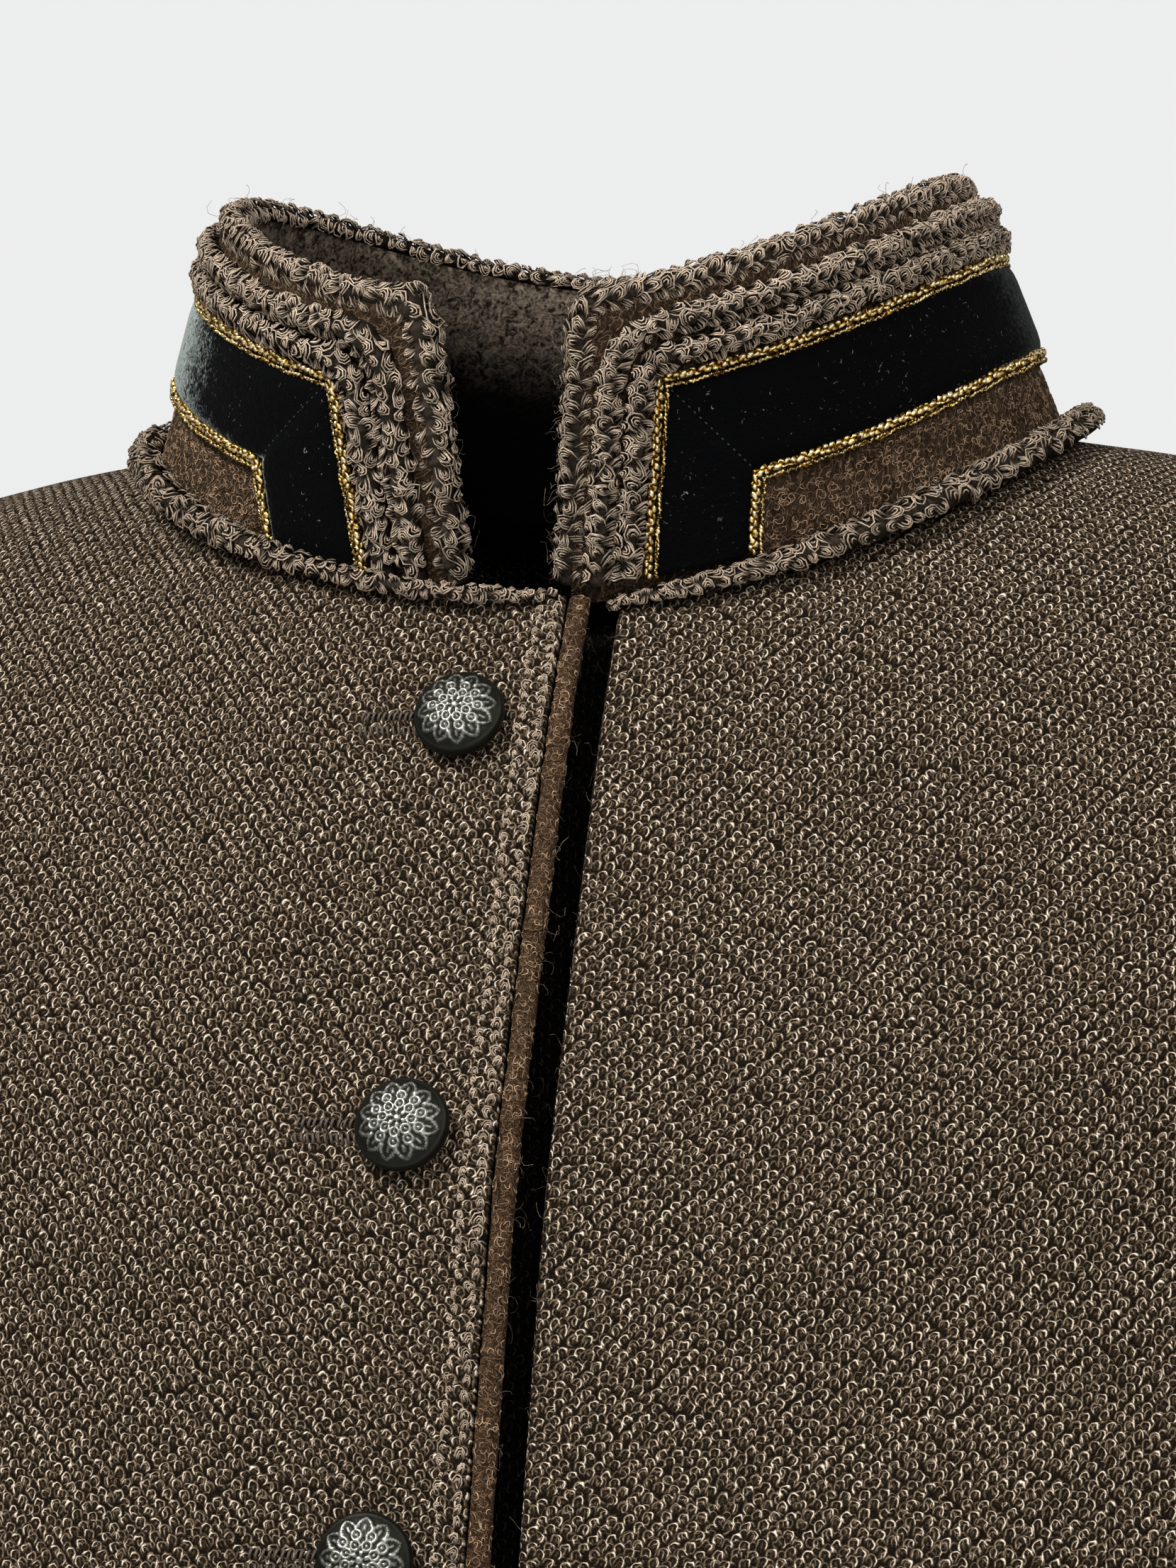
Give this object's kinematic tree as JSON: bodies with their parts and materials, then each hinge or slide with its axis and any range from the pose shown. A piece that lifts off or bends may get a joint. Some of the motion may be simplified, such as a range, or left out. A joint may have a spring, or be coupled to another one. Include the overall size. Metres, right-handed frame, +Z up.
{
  "type": "trachten jacket",
  "caption": "Knitted trachten jacket in worn, hollow form: long sleeves, stand collar with crochet, velvet and gold cord, domed buttons on a lapped front.",
  "frame": {"origin": "middle of the neckline at the height of the shoulders beside the neck, where the wearer carries the jacket", "axes": "+Z up, the front faces -Y, the wearer's left is +X"},
  "size_m": [0.59, 0.2592, 0.6444],
  "materials": {
    "knit": "taupe wool knit, purl side out, matt with loose fibres",
    "crochet": "taupe wool crochet, plied yarn, matt",
    "facing": "dark fine knit, brushed",
    "felt": "brown boiled wool with curled fibres",
    "velvet": "black velvet with a grey-green sheen at grazing angles",
    "gold_cord": "metallic gold gimp cord, glittering",
    "antique_metal": "oxidised silver, bright on the relief's ridges"
  },
  "bodies": {
    "root": {"front_right": "knit", "front_left": "knit", "back": "knit", "sleeve_right": "knit", "sleeve_left": "knit", "neck_welt": "crochet", "collar_stand": "felt", "collar_facing": "facing", "velvet_band": "velvet", "cord_outer": "gold_cord", "cord_inner": "gold_cord", "crochet_edge": "crochet", "crochet_middle": "crochet", "crochet_inner": "crochet", "front_piping": "felt", "button_1": "antique_metal", "button_2": "antique_metal", "button_3": "antique_metal", "button_4": "antique_metal", "button_5": "antique_metal", "button_6": "antique_metal", "button_7": "antique_metal", "button_8": "antique_metal"}
  },
  "joints": []
}
